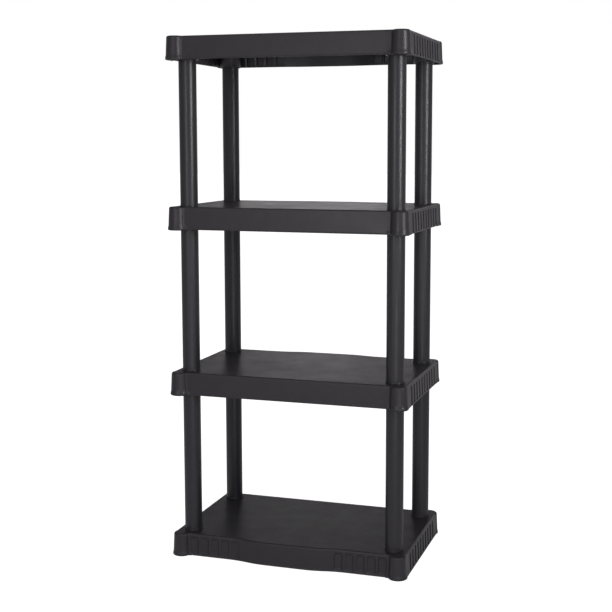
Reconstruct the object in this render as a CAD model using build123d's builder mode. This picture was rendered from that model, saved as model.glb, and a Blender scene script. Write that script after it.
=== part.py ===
from build123d import *
import os
from math import cos, radians, sin, tan

# Four-tier knock-down shelving unit: four identical moulded shelves on twelve plain round posts.
# Millimetres, +Z up.  X runs along the shelves, Y from front (-Y) to back (+Y).
# The origin is on the floor, at the centre of the footprint.

# ---------------------------------------------------------------- driving dimensions
# whole unit
unit_height = 1190.0
shelf_width = 562.0
shelf_depth = 358.0
shelf_height = 53.0
shelf_count = 4
tier_pitch = (unit_height - shelf_height) / (shelf_count - 1)

# shelf moulding
wall = 3.0
deck = 3.0
draft = 2.5
deck_edge_radius = 4.0
foot_drop = 1.5
foot_margin = 1.0

# bead round the shelf's lower edge
bead_proud = 1.0
bead_height = 3.5

# corner columns, rounded and standing proud of the long skirts
column_radius = 21.0
column_proud = 13.0
side_valley = 1.5
skirt_valley_radius = 3.0
side_valley_radius = 8.0

# bow in the middle of one long skirt
bow_proud = 10.5
bow_half_width = 140.0
bow_flat_half_width = 45.0

# flutes: narrow ones on both ends, wide ones on the bowed skirt
flute_pitch = 25.4
flute_depth = 3.0
flute_clearance = 3.0
end_flute_count = 10
end_flute_width = 12.7
end_flute_top_land = 8.0
end_flute_corner = 2.5
long_flute_count = 5
long_flute_width = 17.5
long_flute_top_land = 9.0
long_flute_bottom_land = 7.0
long_flute_corner = 6.0
long_flute_edge_land = 4.0

# thickening behind the flutes, buried this far into the wall and the deck
backing_side = 1.5
end_backing_bite = 1.5
bowed_backing_bite = 0.75
deck_bite = 1.0
backing_low = 1.0

# ribs under the deck
rib_thickness = 2.4
rib_depth = 14.0
long_rib_spacing = 78.0
long_rib_count = 3
cross_rib_spacing = 78.0
cross_rib_count = 5

# sockets
post_inset_x = 38.0
post_inset_y = 52.0
socket_radius = 20.05
boss_radius = 25.0
stop_web = 3.0
stop_web_bore = 14.0
cup_radius = 21.0
cup_depth = 2.0

# posts
post_radius = 20.0
post_wall = 2.4
spigot_end_gap = 1.0
spigot_chamfer = 0.8
collar_radius = 20.7
collar_show = 2.5
collar_edge = 0.4

# caps in the top shelf's open sockets
cap_radius = 20.7
cap_plug_radius = 19.98
cap_plug_length = 14.0
cap_plug_wall = 2.0
cap_edge = 0.5

# ---------------------------------------------------------------- worked-out values
slope = tan(radians(draft))
outline_half_width = shelf_width / 2 - bead_proud
outline_half_depth = shelf_depth / 2 - bead_proud
column_x = outline_half_width - column_radius
column_y = outline_half_depth - column_radius
end_face_x = outline_half_width - side_valley
skirt_y = outline_half_depth - column_proud
post_x = shelf_width / 2 - post_inset_x
post_y = shelf_depth / 2 - post_inset_y
web_bottom = (shelf_height + foot_drop - stop_web) / 2
web_top = web_bottom + stop_web
corners = [(-1, -1), (1, -1), (-1, 1), (1, 1)]
post_places = [(sx * post_x, sy * post_y) for sx, sy in corners]


def skirt_plane(x, y, nx, ny, inward):
    """Plane lying on a drafted skirt face, moved inward; its local Y climbs the skirt."""
    normal = Vector(nx * cos(radians(draft)), ny * cos(radians(draft)), sin(radians(draft)))
    foot = Vector(x, y, 0) - normal * inward
    return Plane(origin=foot, x_dir=(-ny, nx, 0), z_dir=normal)


end_faces = [(side * end_face_x, 0, side, 0) for side in (-1, 1)]
bowed_face = (0, -skirt_y, 0, -1)
end_flute_places = [flute_pitch * (i - (end_flute_count - 1) / 2) for i in range(end_flute_count)]
long_flute_outer = column_x - column_radius - long_flute_edge_land - long_flute_width / 2
long_flute_places = [
    side * (long_flute_outer - flute_pitch * i) for side in (-1, 1) for i in range(long_flute_count)
]

# ---------------------------------------------------------------- shelf outline, seen from above
with BuildSketch() as outline:
    with BuildLine():
        bow_shoulder = (bow_half_width + bow_flat_half_width) / 2
        left_rise = TangentArc(
            (-bow_half_width, -skirt_y), (-bow_shoulder, -skirt_y - bow_proud / 2), tangent=(1, 0)
        )
        left_crest = TangentArc(
            left_rise @ 1, (-bow_flat_half_width, -skirt_y - bow_proud), tangent=left_rise % 1
        )
        crest = Line(left_crest @ 1, (bow_flat_half_width, -skirt_y - bow_proud))
        right_crest = TangentArc(
            crest @ 1, (bow_shoulder, -skirt_y - bow_proud / 2), tangent=(1, 0)
        )
        right_fall = TangentArc(right_crest @ 1, (bow_half_width, -skirt_y), tangent=right_crest % 1)
        Polyline(
            right_fall @ 1,
            (column_x, -skirt_y),
            (end_face_x, -column_y),
            (end_face_x, column_y),
            (column_x, skirt_y),
            (-column_x, skirt_y),
            (-end_face_x, column_y),
            (-end_face_x, -column_y),
            (-column_x, -skirt_y),
            left_rise @ 0,
        )
    make_face()
    with Locations(*[Location((sx * column_x, sy * column_y, 0), (0, 0, 90 + 90 * sx)) for sx, sy in corners]):
        Circle(column_radius)
    skirt_valleys = [
        v
        for v in outline.vertices()
        if abs(abs(v.Y) - skirt_y) < 0.01 and bow_half_width + 1 < abs(v.X) < column_x
    ]
    fillet(skirt_valleys, skirt_valley_radius)
    side_valleys = [
        v for v in outline.vertices() if abs(abs(v.X) - end_face_x) < 0.01 and abs(v.Y) < column_y
    ]
    fillet(side_valleys, side_valley_radius)

# ---------------------------------------------------------------- shelf moulding, bowed skirt to -Y
with BuildPart() as shelf:
    # drafted outer form with a soft deck edge
    add(outline)
    extrude(amount=shelf_height, taper=draft)
    fillet(shelf.faces().sort_by(Axis.Z)[-1].outer_wire().edges(), deck_edge_radius)

    # bead round the lower edge
    with BuildSketch():
        add(outline)
        offset(amount=bead_proud)
    extrude(amount=bead_height)

    # open underside
    with BuildSketch():
        add(outline)
        offset(amount=-wall)
    extrude(amount=shelf_height - deck, taper=draft, mode=Mode.SUBTRACT)

    # the wall steps inward behind each flute
    backing_high = shelf_height - deck + deck_bite
    for face in end_faces:
        with BuildSketch(skirt_plane(*face, inward=end_backing_bite)):
            with Locations(*[(along, (backing_low + backing_high) / 2) for along in end_flute_places]):
                Rectangle(end_flute_width + 2 * backing_side, backing_high - backing_low)
        extrude(amount=-(wall - end_backing_bite + flute_depth))
    with BuildSketch(skirt_plane(*bowed_face, inward=bowed_backing_bite)):
        with Locations(*[(along, (backing_low + backing_high) / 2) for along in long_flute_places]):
            Rectangle(long_flute_width + 2 * backing_side, backing_high - backing_low)
    extrude(amount=-(wall - bowed_backing_bite + flute_depth))

    # ribs under the deck, running into the skirts
    rib_top = shelf_height - deck / 2
    rib_drop = rib_depth + deck / 2
    rib_lean = shelf_height * slope + wall / 2
    with BuildSketch(Plane.XY.offset(rib_top)):
        with GridLocations(0, long_rib_spacing, 1, long_rib_count):
            Rectangle(2 * (end_face_x - rib_lean), rib_thickness)
        with GridLocations(cross_rib_spacing, 0, cross_rib_count, 1):
            Rectangle(rib_thickness, 2 * (skirt_y - rib_lean))
    extrude(amount=-rib_drop)

    # socket bosses, tied to the skirts by full-height webs
    with BuildSketch(Plane.XY.offset(foot_drop)):
        with Locations(*post_places):
            Circle(boss_radius)
        for sx, sy in corners:
            tie_x = (post_x + end_face_x - rib_lean) / 2
            tie_y = (post_y + skirt_y - rib_lean) / 2
            with Locations((sx * tie_x, sy * post_y)):
                Rectangle(end_face_x - rib_lean - post_x, rib_thickness)
            with Locations((sx * post_x, sy * tie_y)):
                Rectangle(rib_thickness, skirt_y - rib_lean - post_y)
    extrude(amount=shelf_height - deck / 2 - foot_drop)

    # upper and lower sockets either side of a stop web
    with BuildSketch(Plane.XY.offset(shelf_height)):
        with Locations(*post_places):
            Circle(cup_radius)
    extrude(amount=-cup_depth, mode=Mode.SUBTRACT)
    with BuildSketch(Plane.XY.offset(web_top)):
        with Locations(*post_places):
            Circle(socket_radius)
    extrude(amount=shelf_height - web_top, mode=Mode.SUBTRACT)
    with BuildSketch(Plane.XY):
        with Locations(*post_places):
            Circle(socket_radius)
    extrude(amount=web_bottom, mode=Mode.SUBTRACT)
    with BuildSketch(Plane.XY.offset(web_bottom)):
        with Locations(*post_places):
            Circle(stop_web_bore)
    extrude(amount=stop_web, mode=Mode.SUBTRACT)

    # narrow flutes on both ends
    end_flute_low = bead_height
    end_flute_high = shelf_height - end_flute_top_land
    for face in end_faces:
        with BuildSketch(skirt_plane(*face, inward=flute_depth)) as end_flutes:
            with Locations(*[(along, (end_flute_low + end_flute_high) / 2) for along in end_flute_places]):
                Rectangle(end_flute_width, end_flute_high - end_flute_low)
            fillet(end_flutes.vertices().group_by(Axis.Z)[-1], end_flute_corner)
        extrude(amount=flute_depth + flute_clearance, mode=Mode.SUBTRACT)

    # wide arched flutes beside the bow
    long_flute_low = long_flute_bottom_land
    long_flute_high = shelf_height - long_flute_top_land
    with BuildSketch(skirt_plane(*bowed_face, inward=flute_depth)) as long_flutes:
        with Locations(*[(along, (long_flute_low + long_flute_high) / 2) for along in long_flute_places]):
            Rectangle(long_flute_width, long_flute_high - long_flute_low)
        fillet(long_flutes.vertices().group_by(Axis.Z)[-1], long_flute_corner)
    extrude(amount=flute_depth + flute_clearance, mode=Mode.SUBTRACT)

    # the skirts are relieved between the four corners, which are the feet
    foot_x = column_x - column_radius - skirt_valley_radius - foot_margin
    foot_y = column_y - column_radius - skirt_valley_radius - foot_margin
    with BuildSketch():
        Rectangle(2 * foot_x, shelf_depth)
        Rectangle(shelf_width, 2 * foot_y)
    extrude(amount=foot_drop, mode=Mode.SUBTRACT)

os.makedirs("parts", exist_ok=True)

# ---------------------------------------------------------------- the four shelves in place
# The lowest shelf shows its bowed skirt to the front; the three above are turned to the back.
shelves = [
    ("bottom_shelf", 0, 0),
    ("lower_middle_shelf", 1, 180),
    ("upper_middle_shelf", 2, 180),
    ("top_shelf", 3, 180),
]
for name, level, turn in shelves:
    with BuildPart() as placed_shelf:
        with Locations(Location((0, 0, level * tier_pitch), (0, 0, turn))):
            add(shelf.part)
    placed_shelf.part.label = name
    export_step(placed_shelf.part, f"parts/{name}.step")

# ---------------------------------------------------------------- posts
# Each post drops into the socket below up to its collar, and its upper end carries the next shelf's stop web.
post_low = web_top + spigot_end_gap
post_high = tier_pitch + web_bottom
collar_seat = shelf_height - cup_depth

tiers = ["lower", "middle", "upper"]
corner_names = ["front_left", "front_right", "back_left", "back_right"]
for level, tier in enumerate(tiers):
    base = level * tier_pitch
    for corner, (x, y) in zip(corner_names, post_places):
        with BuildPart() as post:
            with BuildSketch(Plane((x, y, base + post_low))):
                Circle(post_radius)
            extrude(amount=post_high - post_low)
            chamfer(post.edges().group_by(Axis.Z)[0] + post.edges().group_by(Axis.Z)[-1], spigot_chamfer)
            with BuildSketch(Plane((x, y, base + collar_seat))):
                Circle(collar_radius)
            extrude(amount=cup_depth + collar_show)
            collar_rims = post.edges().filter_by(GeomType.CIRCLE).group_by(SortBy.RADIUS)[-1]
            chamfer(collar_rims.sort_by(Axis.Z)[-1], collar_edge)
            with BuildSketch(Plane((x, y, base + post_low))):
                Circle(post_radius - post_wall)
            extrude(amount=post_high - post_low, mode=Mode.SUBTRACT)
        name = f"{tier}_post_{corner}"
        post.part.label = name
        export_step(post.part, f"parts/{name}.step")

# ---------------------------------------------------------------- flush caps in the top shelf
for corner, (x, y) in zip(corner_names, post_places):
    with BuildPart() as cap:
        with BuildSketch(Plane((x, y, unit_height - cup_depth))):
            Circle(cap_radius)
        extrude(amount=cup_depth)
        chamfer(cap.edges().group_by(Axis.Z)[-1], cap_edge)
        with BuildSketch(Plane((x, y, unit_height - cup_depth))):
            Circle(cap_plug_radius)
            Circle(cap_plug_radius - cap_plug_wall, mode=Mode.SUBTRACT)
        extrude(amount=-cap_plug_length)
    name = f"cap_{corner}"
    cap.part.label = name
    export_step(cap.part, f"parts/{name}.step")
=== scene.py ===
import math

import bpy
import numpy as np
from mathutils import Matrix, Vector
from mathutils.geometry import delaunay_2d_cdt


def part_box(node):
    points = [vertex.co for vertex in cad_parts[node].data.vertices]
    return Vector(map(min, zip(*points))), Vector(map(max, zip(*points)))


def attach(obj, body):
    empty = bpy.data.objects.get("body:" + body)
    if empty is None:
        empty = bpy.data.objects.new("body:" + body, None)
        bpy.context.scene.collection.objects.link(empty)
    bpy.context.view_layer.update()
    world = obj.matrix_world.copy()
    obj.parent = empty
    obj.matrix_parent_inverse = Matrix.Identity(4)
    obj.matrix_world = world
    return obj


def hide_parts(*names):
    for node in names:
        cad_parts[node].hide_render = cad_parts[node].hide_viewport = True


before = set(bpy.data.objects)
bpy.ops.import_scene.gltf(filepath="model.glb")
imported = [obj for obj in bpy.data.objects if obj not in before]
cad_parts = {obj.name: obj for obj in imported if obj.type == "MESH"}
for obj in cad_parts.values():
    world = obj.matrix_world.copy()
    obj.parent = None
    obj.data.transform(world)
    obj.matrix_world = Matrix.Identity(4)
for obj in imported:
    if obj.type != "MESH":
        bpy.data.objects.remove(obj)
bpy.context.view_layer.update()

# ---------------------------------------------------------------- sizes, in millimetres
MM = 0.001
SHELVES = ("bottom_shelf", "lower_middle_shelf", "upper_middle_shelf", "top_shelf")
TIERS = ("lower", "middle", "upper")
CORNERS = {
    "front_left": (-1, -1),
    "front_right": (1, -1),
    "back_left": (-1, 1),
    "back_right": (1, 1),
}

shelf_low, shelf_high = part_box("bottom_shelf")
SHELF_WIDTH = (shelf_high[0] - shelf_low[0]) / MM
SHELF_DEPTH = (shelf_high[1] - shelf_low[1]) / MM
SHELF_HEIGHT = (shelf_high[2] - shelf_low[2]) / MM
TIER_PITCH = (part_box("lower_middle_shelf")[0][2] - shelf_low[2]) / MM
post_low, post_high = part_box("lower_post_front_right")
POST_X = (post_low[0] + post_high[0]) / 2 / MM
POST_Y = -(post_low[1] + post_high[1]) / 2 / MM
POST_BASE = (post_low[2] - shelf_low[2]) / MM
POST_TOP = (post_high[2] - shelf_low[2]) / MM
COLLAR_RADIUS = (post_high[0] - post_low[0]) / 2 / MM
cap_low, cap_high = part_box("cap_front_right")
CAP_RADIUS = (cap_high[0] - cap_low[0]) / 2 / MM
CAP_HEIGHT = (cap_high[2] - cap_low[2]) / MM

# the shelf's walls, deck, feet and outline
WALL = 3.0
DECK = 3.0
SLOPE = math.tan(math.radians(2.5))
DECK_EDGE_RADIUS = 4.0
FOOT_DROP = 1.5
BEAD = 1.0
BEAD_HEIGHT = 3.5
SKIRT_TOE_RADIUS = 1.2
SKIRT_FLARE_TOP = 4.8
COLUMN_TOE_RADIUS = 2.8
COLUMN_FLARE_TOP = 12.0
COLUMN_RADIUS = 21.0
COLUMN_PROUD = 13.0
SIDE_VALLEY = 1.5
SKIRT_VALLEY_RADIUS = 1.4
SIDE_VALLEY_RADIUS = 8.0
FOOT_MARGIN = 4.0
FOOT_STEPS = (0.0, 0.8, 1.6, 2.4)
BOW_PROUD = 10.5
BOW_HALF_WIDTH = 140.0
BOW_FLAT_HALF_WIDTH = 45.0
# flutes: low and high are heights above the shelf's base, and a low below zero runs a flute
# straight down to the bead; corner rounds its top, and wall is half the run of its side
FLUTE_PITCH = 25.4
FLUTE_DEPTH = 3.0
END_FLUTES = dict(count=10, width=12.7, low=-20.0, high=SHELF_HEIGHT - 8.0, corner=3.0, wall=0.3)
LONG_FLUTES = dict(count=5, width=17.5, low=7.0, high=SHELF_HEIGHT - 9.0, corner=6.0, wall=1.9)
LONG_FLUTE_EDGE_LAND = 4.0
FLUTE_FOOT_CORNER = 1.5
FLUTE_BACKING = 1.5
FLUTE_MID_HEIGHT = 20.0
DECK_RIM = (1.0, 2.5)
# ribs, sockets and stop webs
RIB_THICKNESS = 2.4
RIB_DEPTH = 14.0
RIB_SPACING = 78.0
SOCKET_RADIUS = 20.05
BOSS_RADIUS = 25.0
CUP_RADIUS = CAP_RADIUS + 0.3
CUP_DEPTH = 2.0
WEB = 3.0
WEB_BORE = 14.0
WEB_LOW = (SHELF_HEIGHT + FOOT_DROP - WEB) / 2
# posts and caps
POST_RADIUS = 20.0
POST_WALL = 2.4
COLLAR_SHOW = 2.5
CAP_PLUG_RADIUS = 19.98
CAP_PLUG_WALL = 2.0
# how much edges are eased
EASE = 0.5
FINE_EASE = 0.3
POST_EASE = 1.1

OUTLINE_HALF_WIDTH = SHELF_WIDTH / 2 - BEAD
OUTLINE_HALF_DEPTH = SHELF_DEPTH / 2 - BEAD
COLUMN_X = OUTLINE_HALF_WIDTH - COLUMN_RADIUS
COLUMN_Y = OUTLINE_HALF_DEPTH - COLUMN_RADIUS
END_X = OUTLINE_HALF_WIDTH - SIDE_VALLEY
SKIRT_Y = OUTLINE_HALF_DEPTH - COLUMN_PROUD
UNDERSIDE = SHELF_HEIGHT - DECK

# how finely the meshes follow the shapes
ROUND_STEPS = 72
POST_STEPS = 96
VALLEY_STEPS = 8
COLUMN_STEPS = 40
SIDE_VALLEY_STEPS = 6
TOE_STEPS = 6
EDGE_STEPS = 8
BOW_POINTS = 57
PLAIN_POINTS = 31
PLAIN_MARGIN = 8
POINT_GAP = 0.8
CORNER_GAP = 0.3
SLOPE_STEP = 0.01
POST_BANDS = 8
POST_END_BAND = 2.0
WALL_LEVELS = (3.0, 3.3, 3.6, 3.9, 4.2, 4.5, 4.8, 5.3, 5.8, 6.3, 6.8, 7.3, 7.8, 8.6, 9.6, 12)
WALL_LEVELS += (18, 24, 30, 34.5, 37, 38.2, 39.2, 40.1, 40.9, 41.6, 42.2, 42.7, 43.1, 43.5)
WALL_LEVELS += (43.9, 44.2, 44.5, 44.9, 45.3, 45.8, 46.6, 47.6)
BACK_LEVELS = (4.0, 8.0, 20.0, 32.0, 42.0, UNDERSIDE - 2.0)


# ---------------------------------------------------------------- mesh building
class Shell:
    """Collects points in millimetres and faces, and makes one mesh object of them."""

    def __init__(self):
        self.points = []
        self.faces = []

    def add(self, points):
        start = len(self.points)
        self.points.extend(tuple(float(c) for c in p) for p in points)
        return list(range(start, len(self.points)))

    def bridge(self, low, high):
        """Quads between two closed loops of equal length; they face away from the loops' inside."""
        n = len(low)
        for i in range(n):
            j = (i + 1) % n
            self.faces.append((low[i], low[j], high[j], high[i]))

    def skin(self, rings):
        """Bridges each loop of points to the next one, and returns the loops' indices."""
        loops = [self.add(r) for r in rings]
        for a, b in zip(loops, loops[1:]):
            self.bridge(a, b)
        return loops

    def fill(self, outer, holes, upward):
        """Fills the flat area between the outer loop and the holes, all loops of indices."""
        loops = [outer] + holes
        index = [i for loop in loops for i in loop]
        flat = [Vector(self.points[i][:2]) for i in index]
        edges, start = [], 0
        for loop in loops:
            n = len(loop)
            edges += [(start + k, start + (k + 1) % n) for k in range(n)]
            start += n
        made = delaunay_2d_cdt(flat, edges, [], 0, 1e-6)
        back = [origin[0] for origin in made[3]]
        spots = np.array([tuple(p) for p in made[0]])
        rims = [np.array([tuple(self.points[i][:2]) for i in loop]) for loop in loops]
        for face in made[2]:
            middle = spots[list(face)].mean(axis=0)
            if inside(middle, rims[0]) and not any(inside(middle, r) for r in rims[1:]):
                corners = [index[back[k]] for k in face]
                self.faces.append(tuple(corners) if upward else tuple(reversed(corners)))

    def turned(self, centre, profile, steps=ROUND_STEPS):
        """Loops of a revolved profile of (radius, z) about an upright axis through centre."""
        angles = np.linspace(0, 2 * math.pi, steps, endpoint=False)
        x, y = centre
        return [
            [(x + r * math.cos(a), y + r * math.sin(a), z) for a in angles] for r, z in profile
        ]

    def make(self, name):
        mesh = bpy.data.meshes.new(name)
        mesh.from_pydata([tuple(c * MM for c in p) for p in self.points], [], self.faces)
        mesh.validate()
        mesh.polygons.foreach_set("use_smooth", [True] * len(mesh.polygons))
        mesh.update()
        piece = bpy.data.objects.new(name, mesh)
        bpy.context.scene.collection.objects.link(piece)
        return piece


def inside(spot, rim):
    """Whether a point lies inside a closed outline, by counting crossings."""
    x, y = spot
    ax, ay = rim[:, 0], rim[:, 1]
    bx, by = np.roll(ax, -1), np.roll(ay, -1)
    spans = (ay > y) != (by > y)
    with np.errstate(divide="ignore", invalid="ignore"):
        cut = ax + (y - ay) * (bx - ax) / (by - ay)
    return bool(np.count_nonzero(spans & (x < cut)) % 2)


def smooth(edge_low, edge_high, value):
    """Runs from 0 at the low edge to 1 at the high edge, flat at both."""
    t = np.clip((value - edge_low) / (edge_high - edge_low), 0.0, 1.0)
    return t * t * (3 - 2 * t)


def arc(centre, radius, start, end, steps):
    """Points of an arc and the directions from its centre, both from start to end, in degrees."""
    angles = np.radians(np.linspace(start, end, steps + 1))
    out = np.stack([np.cos(angles), np.sin(angles)], axis=1)
    return np.array(centre) + radius * out, out


# ---------------------------------------------------------------- shelf outline
def bow(x):
    """How far the bowed skirt stands in front of the plain line, and its slope, at x."""
    shoulder = (BOW_HALF_WIDTH + BOW_FLAT_HALF_WIDTH) / 2
    run = BOW_HALF_WIDTH - shoulder
    radius = (run**2 + (BOW_PROUD / 2) ** 2) / BOW_PROUD
    a = np.abs(x)
    past_flat = np.clip(a - BOW_FLAT_HALF_WIDTH, 0, run)
    before_end = np.clip(BOW_HALF_WIDTH - a, 0, run)
    crest = BOW_PROUD - (radius - np.sqrt(radius**2 - past_flat**2))
    foot = radius - np.sqrt(radius**2 - before_end**2)
    return np.where(a < shoulder, crest, foot)


def flute_stations(flutes, centres):
    """Where along a skirt the mesh needs points to follow the flutes' walls and round corners."""
    half, wall = flutes["width"] / 2, flutes["wall"]
    steps = [0.0] + [half - wall - d for d in (4.0, 2.6, 1.6, 0.8, 0.3)]
    steps += [half + wall * d for d in (-1.0, -0.7, -0.4, -0.13, 0.13, 0.4, 0.7, 1.0)]
    steps += [half + wall + d for d in (0.3, 1.1)]
    near = [s for s in steps if s >= 0]
    return sorted({round(c + side * s, 4) for c in centres for s in near for side in (-1, 1)})


END_CENTRES = [
    FLUTE_PITCH * (i - (END_FLUTES["count"] - 1) / 2) for i in range(END_FLUTES["count"])
]
LONG_OUTER = COLUMN_X - COLUMN_RADIUS - LONG_FLUTE_EDGE_LAND - LONG_FLUTES["width"] / 2
LONG_CENTRES = [
    side * (LONG_OUTER - FLUTE_PITCH * i) for side in (-1, 1) for i in range(LONG_FLUTES["count"])
]


def corner_run():
    """The front right corner, from bowed skirt round the column to the end: points and normals."""
    column = np.array([COLUMN_X, -COLUMN_Y])
    reach = COLUMN_RADIUS + SKIRT_VALLEY_RADIUS
    first_y = -(SKIRT_Y + SKIRT_VALLEY_RADIUS)
    first = np.array([COLUMN_X - math.sqrt(reach**2 - (first_y + COLUMN_Y) ** 2), first_y])
    first_turn = math.degrees(math.atan2(*(column - first)[::-1]))
    points_a, out_a = arc(first, SKIRT_VALLEY_RADIUS, 90, first_turn, VALLEY_STEPS)
    reach = COLUMN_RADIUS + SIDE_VALLEY_RADIUS
    last_x = END_X + SIDE_VALLEY_RADIUS
    last = np.array([last_x, -COLUMN_Y + math.sqrt(reach**2 - (last_x - COLUMN_X) ** 2)])
    last_turn = math.degrees(math.atan2(*(last - column)[::-1]))
    start = first_turn - 180 if first_turn > 0 else first_turn + 180
    start = start - 360 if start > 0 else start
    points_b, out_b = arc(column, COLUMN_RADIUS, start, last_turn, COLUMN_STEPS)
    back_turn = last_turn - 180
    points_c, out_c = arc(last, SIDE_VALLEY_RADIUS, back_turn, -180, SIDE_VALLEY_STEPS)
    points = np.concatenate([points_a[:-1], points_b, points_c[1:]])
    normals = np.concatenate([-out_a[:-1], out_b, -out_c[1:]])
    return points, normals


def outline():
    """The shelf's closed outline, counter-clockwise from above: points, normals, foot height."""
    corner_points, corner_normals = corner_run()
    edge_x = corner_points[0][0]
    edge_y = -corner_points[-1][1]
    foot_x = COLUMN_X - COLUMN_RADIUS - FOOT_MARGIN
    foot_y = COLUMN_Y - COLUMN_RADIUS - FOOT_MARGIN
    step_x = [side * (foot_x - d) for d in FOOT_STEPS for side in (-1, 1)]
    step_y = [side * (foot_y - d) for d in FOOT_STEPS for side in (-1, 1)]
    bow_x = list(np.linspace(-BOW_HALF_WIDTH, BOW_HALF_WIDTH, BOW_POINTS))
    front_x = flute_stations(LONG_FLUTES, LONG_CENTRES) + step_x
    front_x = [x for x in front_x if abs(x) < edge_x - CORNER_GAP]
    clear = [x for x in bow_x if min(abs(x - f) for f in front_x) > POINT_GAP]
    front_x = np.array(sorted(set(front_x + clear)))
    slope = (bow(front_x + SLOPE_STEP) - bow(front_x - SLOPE_STEP)) / (2 * SLOPE_STEP)
    front = np.stack([front_x, -SKIRT_Y - bow(front_x)], axis=1)
    front_out = np.stack([-slope, -np.ones_like(slope)], axis=1) / np.sqrt(1 + slope**2)[:, None]
    side_y = flute_stations(END_FLUTES, END_CENTRES) + step_y
    side_y = np.array(sorted({y for y in side_y if abs(y) < edge_y - CORNER_GAP}))
    side = np.stack([np.full_like(side_y, END_X), side_y], axis=1)
    side_out = np.tile([1.0, 0.0], (len(side_y), 1))
    plain_x = np.linspace(-edge_x + PLAIN_MARGIN, edge_x - PLAIN_MARGIN, PLAIN_POINTS)
    plain_x = np.array(sorted({*plain_x, *step_x}))
    back = np.stack([plain_x[::-1], np.full_like(plain_x, SKIRT_Y)], axis=1)
    back_out = np.tile([0.0, 1.0], (len(plain_x), 1))

    def mirrored(points, normals, sx, sy):
        flip = np.array([sx, sy])
        order = slice(None, None, -1) if sx * sy < 0 else slice(None)
        return (points * flip)[order], (normals * flip)[order]

    runs = [
        (front, front_out),
        (corner_points, corner_normals),
        (side, side_out),
        mirrored(corner_points, corner_normals, 1, -1),
        (back, back_out),
        mirrored(corner_points, corner_normals, -1, -1),
        mirrored(side, side_out, -1, -1),
        mirrored(corner_points, corner_normals, -1, 1),
    ]
    points = np.concatenate([r[0] for r in runs])
    normals = np.concatenate([r[1] for r in runs])
    along_x = smooth(foot_x - FOOT_STEPS[-1], foot_x, np.abs(points[:, 0]))
    along_y = smooth(foot_y - FOOT_STEPS[-1], foot_y, np.abs(points[:, 1]))
    foot = FOOT_DROP * (1 - along_x * along_y)
    return points, normals, foot


def flute_depth(points, normals, z, grow=0.0):
    """How far the wall steps in at height z for each point of the outline."""
    depth = np.zeros(len(points))
    on_end = np.abs(normals[:, 0]) > 0.999
    in_front = (normals[:, 1] < -0.9) & (points[:, 1] < -SKIRT_Y + 0.01)
    on_front = in_front & (np.abs(points[:, 0]) < COLUMN_X - COLUMN_RADIUS)
    for flutes, centres, mask, along in (
        (END_FLUTES, END_CENTRES, on_end, points[:, 1]),
        (LONG_FLUTES, LONG_CENTRES, on_front, points[:, 0]),
    ):
        gap = np.min(np.abs(along[:, None] - np.array(centres)[None, :]), axis=1)
        half = flutes["width"] / 2 + grow
        middle = (flutes["low"] + flutes["high"]) / 2
        tall = (flutes["high"] - flutes["low"]) / 2 + grow
        round_ = flutes["corner"] + grow if z > middle else FLUTE_FOOT_CORNER
        qx = np.abs(gap) - half + round_
        qz = abs(z - middle) - tall + round_
        past = np.hypot(np.maximum(qx, 0), max(qz, 0)) + np.minimum(np.maximum(qx, qz), 0) - round_
        sunk = 1 - smooth(-flutes["wall"], flutes["wall"], past)
        depth = np.maximum(depth, np.where(mask, sunk, 0.0))
    return FLUTE_DEPTH * depth


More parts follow.
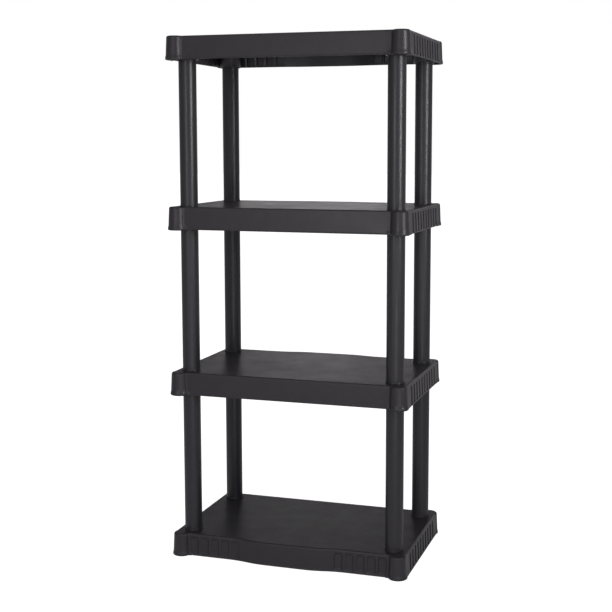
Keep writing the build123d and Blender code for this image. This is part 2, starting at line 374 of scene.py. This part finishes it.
# ---------------------------------------------------------------- shelf moulding
def shelf_shell():
    """One shelf moulding as a closed skin: skirts, columns, deck and sockets, without its ribs."""
    shell = Shell()
    points, normals, foot = outline()

    def loop(offset, z, lift=0.0):
        """A loop of the wall, offset outward at height z; lift adds the foot height below z."""
        level = z + lift * foot
        at = points + normals * np.reshape(offset, (-1, 1) if np.ndim(offset) else (1, 1))
        return np.column_stack([at, level])

    # outer face: rounded lower edge, bead, drafted wall with its flutes, rounded deck edge
    near_column = 1 - foot / FOOT_DROP
    toe = SKIRT_TOE_RADIUS + (COLUMN_TOE_RADIUS - SKIRT_TOE_RADIUS) * near_column
    flare_top = SKIRT_FLARE_TOP + (COLUMN_FLARE_TOP - SKIRT_FLARE_TOP) * near_column
    outer = []
    for step in range(TOE_STEPS + 1):
        angle = math.pi / 2 * step / TOE_STEPS
        outer.append(loop(BEAD - toe * (1 - math.sin(angle)), toe * (1 - math.cos(angle)), 1.0))
    for z in WALL_LEVELS:
        fade = smooth(BEAD_HEIGHT + 0.3, BEAD_HEIGHT + 1.5, z)
        flare = 1 - smooth(BEAD_HEIGHT - 0.6, flare_top, z)
        wall = BEAD * flare - z * SLOPE * (1 - flare)
        outer.append(loop(wall - fade * flute_depth(points, normals, z), z))
    turn = math.atan(SLOPE)
    edge_centre = SHELF_HEIGHT - DECK_EDGE_RADIUS
    lean = -edge_centre * SLOPE - DECK_EDGE_RADIUS / math.cos(turn)
    for step in range(EDGE_STEPS + 1):
        angle = turn + (math.pi / 2 - turn) * step / EDGE_STEPS
        offset = lean + DECK_EDGE_RADIUS * math.cos(angle)
        outer.append(loop(offset, edge_centre + DECK_EDGE_RADIUS * math.sin(angle)))
    outer += [loop(lean - inset, SHELF_HEIGHT) for inset in DECK_RIM]
    outer_loops = shell.skin(outer)

    # inner face, stepping in behind each flute, up to the underside of the deck
    inner = [loop(BEAD - toe - 0.2, 0.0, 1.0), loop(-WALL + 0.4, 0.0, 1.0), loop(-WALL, 0.4, 1.0)]
    back = flute_depth(points, normals, FLUTE_MID_HEIGHT, grow=FLUTE_BACKING)
    for z in BACK_LEVELS:
        inner.append(loop(-WALL - z * SLOPE - back * smooth(3.0, 7.0, z), z))
    for offset, z in ((-0.1, UNDERSIDE - 0.6), (-0.35, UNDERSIDE - 0.15), (-0.7, UNDERSIDE)):
        inner.append(loop(offset - WALL - UNDERSIDE * SLOPE - back, z))
    inner_loops = [shell.add(r) for r in inner]
    shell.bridge(inner_loops[0], outer_loops[0])
    for a, b in zip(inner_loops, inner_loops[1:]):
        shell.bridge(b, a)

    # sockets: cup and upper socket, stop web, lower socket, boss
    rim, cup_floor, web_top = SHELF_HEIGHT, SHELF_HEIGHT - CUP_DEPTH, WEB_LOW + WEB
    profile = [(CUP_RADIUS + 1.2, rim), (CUP_RADIUS + 0.4, rim), (CUP_RADIUS + 0.12, rim - 0.1)]
    profile += [(CUP_RADIUS, rim - 0.35), (CUP_RADIUS, rim - 0.8), (CUP_RADIUS, cup_floor)]
    profile += [(SOCKET_RADIUS + EASE, cup_floor), (SOCKET_RADIUS, cup_floor - EASE)]
    profile += [(SOCKET_RADIUS, web_top), (WEB_BORE + FINE_EASE, web_top)]
    profile += [(WEB_BORE, web_top - FINE_EASE), (WEB_BORE, WEB_LOW), (SOCKET_RADIUS, WEB_LOW)]
    profile += [(SOCKET_RADIUS, FOOT_DROP + EASE), (SOCKET_RADIUS + EASE, FOOT_DROP)]
    profile += [(BOSS_RADIUS - EASE, FOOT_DROP), (BOSS_RADIUS, FOOT_DROP + EASE)]
    profile += [(BOSS_RADIUS, UNDERSIDE - 0.6), (BOSS_RADIUS + 0.15, UNDERSIDE - 0.15)]
    profile.append((BOSS_RADIUS + EASE, UNDERSIDE))
    deck_holes, under_holes = [], []
    for sx, sy in CORNERS.values():
        rings = shell.turned((sx * POST_X, sy * POST_Y), profile)
        loops = [shell.add(r) for r in rings]
        for a, b in zip(loops, loops[1:]):
            shell.bridge(b, a)
        deck_holes.append(loops[0])
        under_holes.append(loops[-1])

    shell.fill(outer_loops[-1], deck_holes, upward=True)
    shell.fill(inner_loops[-1], under_holes, upward=False)
    return shell


def bar(shell, x0, x1, y0, y1, z0, z1, round_=EASE):
    """A rib: an upright bar with an eased lower edge."""
    rings = []
    cut = round_ * 0.3
    for inset, z in ((round_, z0), (cut, z0 + cut), (0.0, z0 + round_), (0.0, z1)):
        a, b, c, d = x0 + inset, x1 - inset, y0 + inset, y1 - inset
        rings.append([(a, c, z), (b, c, z), (b, d, z), (a, d, z)])
    loops = shell.skin(rings)
    shell.faces.append(tuple(reversed(loops[0])))
    shell.faces.append(tuple(loops[-1]))


def add_ribs(shell):
    """Ribs under the deck, and webs from each socket boss to the skirts, all ending in walls."""
    low = UNDERSIDE - RIB_DEPTH
    high = UNDERSIDE + DECK * 0.4
    lean = SHELF_HEIGHT * SLOPE + WALL / 2
    half = RIB_THICKNESS / 2
    reach_x, reach_y = END_X - lean - FLUTE_DEPTH, SKIRT_Y - lean
    for step in (-1, 0, 1):
        y = step * RIB_SPACING
        bar(shell, -reach_x, reach_x, y - half, y + half, low, high)
    for step in (-2, -1, 0, 1, 2):
        x = step * RIB_SPACING
        front = reach_y - (FLUTE_DEPTH if abs(step) == 2 else 0)
        bar(shell, x - half, x + half, -front, reach_y, low, high)
    web_low = FOOT_DROP + 0.8
    boss_bite = BOSS_RADIUS - 1.0
    for sx, sy in CORNERS.values():
        px, py = sx * POST_X, sy * POST_Y
        x0, x1 = sorted((px + sx * boss_bite, sx * reach_x))
        y0, y1 = sorted((py + sy * boss_bite, sy * reach_y))
        bar(shell, x0, x1, py - half, py + half, web_low, high)
        bar(shell, px - half, px + half, y0, y1, web_low, high)


# ---------------------------------------------------------------- posts and caps
def round_shell(centre, profile, steps=ROUND_STEPS):
    """A closed revolved shell from a closed (radius, z) profile that runs up the outside."""
    shell = Shell()
    loops = shell.skin(shell.turned(centre, profile, steps))
    shell.bridge(loops[-1], loops[0])
    return shell


def post_shell(centre, base):
    """A hollow post with eased ends and the small collar that seats in the shelf's cup."""
    bore = POST_RADIUS - POST_WALL
    low, high = base + POST_BASE, base + POST_TOP
    seat = base + SHELF_HEIGHT - CUP_DEPTH
    top = base + SHELF_HEIGHT + COLLAR_SHOW
    r, c = POST_RADIUS, COLLAR_RADIUS
    e, f = POST_EASE, FINE_EASE
    profile = [(bore, low + f), (bore + f, low), (r - e, low), (r - f, low + f), (r, low + e)]
    profile += [(r, seat - 0.4), (r, seat), (c - 0.2, seat), (c, seat + 0.2), (c, seat + 1.0)]
    profile += [(c, top - 0.8), (c - 0.06, top - 0.4), (c - 0.2, top - 0.15), (c - 0.4, top - 0.02)]
    plain_low, plain_high = top + POST_END_BAND, high - POST_END_BAND
    profile += [(r + 0.12, top), (r + 0.03, top + 0.1), (r, top + 0.4)]
    profile += [(r, z) for z in np.linspace(plain_low, plain_high, POST_BANDS + 1)]
    profile += [(r, high - e), (r - f, high - f), (r - e, high), (bore + f, high), (bore, high - f)]
    return round_shell(centre, profile, POST_STEPS)


def cap_shell(centre, top):
    """A flush cap: a thin disc with a shallow ring in its face over a hollow plug."""
    low = top - CAP_HEIGHT
    seat = top - CUP_DEPTH
    plug, bore, r = CAP_PLUG_RADIUS, CAP_PLUG_RADIUS - CAP_PLUG_WALL, CAP_RADIUS
    shell = Shell()
    profile = [(bore * 0.5, seat), (bore - 0.6, seat), (bore, seat - 0.6), (bore, low + FINE_EASE)]
    profile += [(bore + FINE_EASE, low), (plug - EASE, low), (plug, low + EASE)]
    profile += [(plug, seat - FINE_EASE), (plug + 0.1, seat), (r - 0.2, seat), (r, seat + 0.2)]
    profile += [(r, top - 0.6), (r - 0.15, top - 0.2), (r - 0.55, top), (r - 1.6, top)]
    profile += [(r - 4.0, top), (r - 4.5, top - 0.35), (r - 5.2, top - 0.5), (r - 6.0, top - 0.35)]
    profile += [(r - 6.6, top), (bore * 0.5, top)]
    loops = shell.skin(shell.turned(centre, profile))
    shell.faces.append(tuple(reversed(loops[0])))
    shell.faces.append(tuple(loops[-1]))
    return shell


# ---------------------------------------------------------------- materials
NOISE_LOW, NOISE_HIGH = 0.3, 0.7
GRAIN_DEPTH = 0.0002
FLOW_DEPTH = 0.0015
TINT_DARK, TINT_PALE = 0.86, 1.16
ROUGH_SWING = 0.035


def plastic(name, colour, rough, streaks, sink):
    """Charcoal plastic: a fine grain, faint flow marks and rubbed, slightly paler patches.

    streaks scales the pattern of flow marks along each axis, and sink is the strength of its bump.
    """
    material = bpy.data.materials.new(name)
    material.use_nodes = True
    nodes, links = material.node_tree.nodes, material.node_tree.links
    nodes.clear()
    output = nodes.new("ShaderNodeOutputMaterial")
    shader = nodes.new("ShaderNodeBsdfPrincipled")
    links.new(shader.outputs["BSDF"], output.inputs["Surface"])
    place = nodes.new("ShaderNodeTexCoord")

    def noise(scale, detail, roughness, stretch=(1, 1, 1)):
        mapping = nodes.new("ShaderNodeMapping")
        mapping.inputs["Scale"].default_value = stretch
        links.new(place.outputs["Object"], mapping.inputs["Vector"])
        texture = nodes.new("ShaderNodeTexNoise")
        texture.inputs["Scale"].default_value = scale
        texture.inputs["Detail"].default_value = detail
        texture.inputs["Roughness"].default_value = roughness
        links.new(mapping.outputs["Vector"], texture.inputs["Vector"])
        return texture.outputs["Fac"]

    def ranged(value, out_low, out_high):
        node = nodes.new("ShaderNodeMapRange")
        node.inputs["From Min"].default_value = NOISE_LOW
        node.inputs["From Max"].default_value = NOISE_HIGH
        node.inputs["To Min"].default_value = out_low
        node.inputs["To Max"].default_value = out_high
        links.new(value, node.inputs["Value"])
        return node.outputs["Result"]

    broad = noise(5.0, 3.0, 0.55)
    mottle = noise(60.0, 4.0, 0.6)
    fine = noise(1400.0, 2.0, 0.5)
    flow = noise(22.0, 3.0, 0.6, streaks)

    tint = nodes.new("ShaderNodeMix")
    tint.data_type = "RGBA"
    tint.inputs["A"].default_value = (*[c * TINT_DARK for c in colour], 1)
    tint.inputs["B"].default_value = (*[c * TINT_PALE for c in colour], 1)
    blend = nodes.new("ShaderNodeMath")
    blend.operation = "MULTIPLY_ADD"
    links.new(ranged(broad, 0.0, 0.7), blend.inputs[0])
    blend.inputs[1].default_value = 0.6
    links.new(ranged(mottle, 0.0, 0.5), blend.inputs[2])
    links.new(blend.outputs["Value"], tint.inputs["Factor"])
    links.new(tint.outputs["Result"], shader.inputs["Base Color"])

    rub = nodes.new("ShaderNodeMath")
    rub.operation = "ADD"
    swing = ranged(flow, rough - ROUGH_SWING, rough + ROUGH_SWING)
    links.new(swing, rub.inputs[0])
    links.new(ranged(broad, -0.03, 0.03), rub.inputs[1])
    links.new(rub.outputs["Value"], shader.inputs["Roughness"])

    grain_bump = nodes.new("ShaderNodeBump")
    grain_bump.inputs["Strength"].default_value = 0.22
    grain_bump.inputs["Distance"].default_value = GRAIN_DEPTH
    links.new(fine, grain_bump.inputs["Height"])
    sink_bump = nodes.new("ShaderNodeBump")
    sink_bump.inputs["Strength"].default_value = sink
    sink_bump.inputs["Distance"].default_value = FLOW_DEPTH
    links.new(flow, sink_bump.inputs["Height"])
    links.new(grain_bump.outputs["Normal"], sink_bump.inputs["Normal"])
    links.new(sink_bump.outputs["Normal"], shader.inputs["Normal"])
    shader.inputs["IOR"].default_value = 1.49
    shader.inputs["Specular IOR Level"].default_value = 0.5
    return material


# ---------------------------------------------------------------- the object
shelf_plastic = plastic("moulded_charcoal", (0.026, 0.0232, 0.0295), 0.40, (1, 1, 1), 0.12)
post_plastic = plastic("tube_charcoal", (0.0235, 0.022, 0.027), 0.36, (14, 14, 0.5), 0.03)
cap_plastic = plastic("cap_charcoal", (0.0245, 0.0225, 0.028), 0.38, (1, 1, 1), 0.2)

moulding = shelf_shell()
add_ribs(moulding)
for level, shelf in enumerate(SHELVES):
    piece = moulding.make(shelf + "_moulding")
    turn = Matrix.Rotation(0 if level == 0 else math.pi, 4, "Z")
    piece.data.transform(Matrix.Translation((0, 0, level * TIER_PITCH * MM)) @ turn)
    piece.data.materials.append(shelf_plastic)
    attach(piece, shelf)
    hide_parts(shelf)

for level, tier in enumerate(TIERS):
    for corner, (sx, sy) in CORNERS.items():
        node = f"{tier}_post_{corner}"
        piece = post_shell((sx * POST_X, sy * POST_Y), level * TIER_PITCH).make(node + "_tube")
        piece.data.materials.append(post_plastic)
        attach(piece, f"{tier}_posts")
        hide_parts(node)

for corner, (sx, sy) in CORNERS.items():
    node = f"cap_{corner}"
    top = len(TIERS) * TIER_PITCH + SHELF_HEIGHT
    piece = cap_shell((sx * POST_X, sy * POST_Y), top).make(node + "_plug")
    piece.data.materials.append(cap_plastic)
    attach(piece, node)
    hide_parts(node)

# ---------------------------------------------------------------- floor, light and camera
FLOOR_REACH = 30
FLOOR_GREY = 0.86
FLOOR_CAMERA_LIFT = 0.9
FLOOR_SHINE = 0.15
floor_mesh = bpy.data.meshes.new("floor")
floor_corners = [(sx * FLOOR_REACH, sy * FLOOR_REACH, 0) for sx, sy in CORNERS.values()]
floor_mesh.from_pydata(floor_corners, [], [(0, 1, 3, 2)])
floor = bpy.data.objects.new("floor", floor_mesh)
bpy.context.scene.collection.objects.link(floor)
floor_material = bpy.data.materials.new("floor")
floor_material.use_nodes = True
floor_shader = floor_material.node_tree.nodes["Principled BSDF"]
# the floor looks white to the camera and lends the plastic a little shine
floor_shader.inputs["Base Color"].default_value = (FLOOR_GREY, FLOOR_GREY, FLOOR_GREY, 1)
floor_shader.inputs["Roughness"].default_value = 0.9
floor_nodes, floor_links = floor_material.node_tree.nodes, floor_material.node_tree.links
floor_ray = floor_nodes.new("ShaderNodeLightPath")
floor_lift = floor_nodes.new("ShaderNodeMath")
floor_lift.operation = "MULTIPLY_ADD"
floor_lift.inputs[1].default_value = FLOOR_CAMERA_LIFT
floor_links.new(floor_ray.outputs["Is Camera Ray"], floor_lift.inputs[0])
floor_shine = floor_nodes.new("ShaderNodeMath")
floor_shine.operation = "MULTIPLY"
floor_shine.inputs[1].default_value = FLOOR_SHINE
floor_links.new(floor_ray.outputs["Is Glossy Ray"], floor_shine.inputs[0])
floor_links.new(floor_shine.outputs["Value"], floor_lift.inputs[2])
floor_shader.inputs["Emission Color"].default_value = (1, 1, 1, 1)
floor_links.new(floor_lift.outputs["Value"], floor_shader.inputs["Emission Strength"])
floor.data.materials.append(floor_material)

ROOM_TINT = (1.0, 0.967, 0.988, 1)
ROOM_GLOW = 0.06
# each patch: azimuth and height of its middle and its spread, in degrees, and its strength
ROOM_PATCHES = (
    (-162, 0, 9, 3.80),
    (-170, 48, 30, 0.15),
    (0, 76, 40, 0.50),
    (164, 18, 9, 1.60),
    (165, 2, 20, 0.30),
    (125, 5, 32, 0.20),
    (-125, 5, 35, 0.18),
    (-85, 8, 35, 0.20),
    (-30, 30, 42, 0.36),
    (8, 7, 40, 0.34),
)
PATCH_CORE = 0.35
world = bpy.data.worlds.new("studio")
bpy.context.scene.world = world
world.use_nodes = True
world_nodes, world_links = world.node_tree.nodes, world.node_tree.links
room = world_nodes["Background"]
room.inputs["Color"].default_value = ROOM_TINT
direction = world_nodes.new("ShaderNodeTexCoord")


def studio_wall(azimuth, height, spread, strength, rest):
    """Adds a soft round patch of light, placed by azimuth and height in degrees, to the room."""
    turn, rise = math.radians(azimuth), math.radians(height)
    facing = world_nodes.new("ShaderNodeVectorMath")
    facing.operation = "DOT_PRODUCT"
    world_links.new(direction.outputs["Generated"], facing.inputs[0])
    facing.inputs[1].default_value = (
        math.sin(turn) * math.cos(rise),
        -math.cos(turn) * math.cos(rise),
        math.sin(rise),
    )
    patch = world_nodes.new("ShaderNodeMapRange")
    patch.interpolation_type = "SMOOTHSTEP"
    patch.inputs["From Min"].default_value = math.cos(math.radians(spread))
    patch.inputs["From Max"].default_value = math.cos(math.radians(spread * PATCH_CORE))
    patch.inputs["To Min"].default_value = 0.0
    patch.inputs["To Max"].default_value = strength
    world_links.new(facing.outputs["Value"], patch.inputs["Value"])
    both = world_nodes.new("ShaderNodeMath")
    world_links.new(patch.outputs["Result"], both.inputs[0])
    if isinstance(rest, float):
        both.inputs[1].default_value = rest
    else:
        world_links.new(rest, both.inputs[1])
    return both.outputs["Value"]


glow = ROOM_GLOW
for azimuth, height, spread, strength in ROOM_PATCHES:
    glow = studio_wall(azimuth, height, spread, strength, glow)
world_links.new(glow, room.inputs["Strength"])
# the camera sees plain white paper, and every other ray sees the soft room
paper = world_nodes.new("ShaderNodeBackground")
paper.inputs["Color"].default_value = (1, 1, 1, 1)
paper.inputs["Strength"].default_value = 1.0
ray = world_nodes.new("ShaderNodeLightPath")
either = world_nodes.new("ShaderNodeMixShader")
world_links.new(ray.outputs["Is Camera Ray"], either.inputs["Fac"])
world_links.new(room.outputs["Background"], either.inputs[1])
world_links.new(paper.outputs["Background"], either.inputs[2])
world_links.new(either.outputs["Shader"], world_nodes["World Output"].inputs["Surface"])


def softbox(name, azimuth, height, width, tall, power, aim, spread=180, reach=2.4):
    """A soft panel that faces the unit's upright axis at the aim height.

    Azimuth 0 is in front and 90 to the right, in degrees; lengths are in metres, power in watts.
    """
    light = bpy.data.lights.new(name, "AREA")
    light.shape = "RECTANGLE"
    light.size = width
    light.size_y = tall
    light.energy = power
    light.spread = math.radians(spread)
    lamp = bpy.data.objects.new(name, light)
    turn = math.radians(azimuth)
    lamp.location = (reach * math.sin(turn), -reach * math.cos(turn), height)
    lamp.rotation_euler = (Vector((0, 0, aim)) - lamp.location).to_track_quat("-Z", "Y").to_euler()
    bpy.context.scene.collection.objects.link(lamp)


softbox("key", 64, 1.4, 0.4, 1.2, 6.0, 1.3, spread=80)
softbox("front", -5, 0.95, 0.4, 0.8, 5.4, 1.0)
softbox("low_right", 28, 0.25, 0.6, 0.4, 3.5, 0.1)

# place and lens follow the photo's perspective, and the shift follows its framing
CAMERA_PLACE = (0.8583, -2.554, 0.9573)
CAMERA_TURN = math.radians(17.405)
CAMERA_DIP = math.radians(6.645)
CAMERA_LENS = 68.26
CAMERA_SHIFT = (-0.0423, -0.048)
camera_data = bpy.data.cameras.new("camera")
camera_data.sensor_width = 36.0
camera_data.lens = CAMERA_LENS
camera_data.shift_x, camera_data.shift_y = CAMERA_SHIFT
camera_data.clip_end = 100.0
camera = bpy.data.objects.new("camera", camera_data)
camera.location = CAMERA_PLACE
camera.rotation_euler = (
    Matrix.Rotation(CAMERA_TURN, 4, "Z")
    @ Matrix.Rotation(math.pi / 2 - CAMERA_DIP, 4, "X")
).to_euler()
bpy.context.scene.collection.objects.link(camera)
bpy.context.scene.camera = camera
bpy.context.scene.view_settings.view_transform = "Standard"
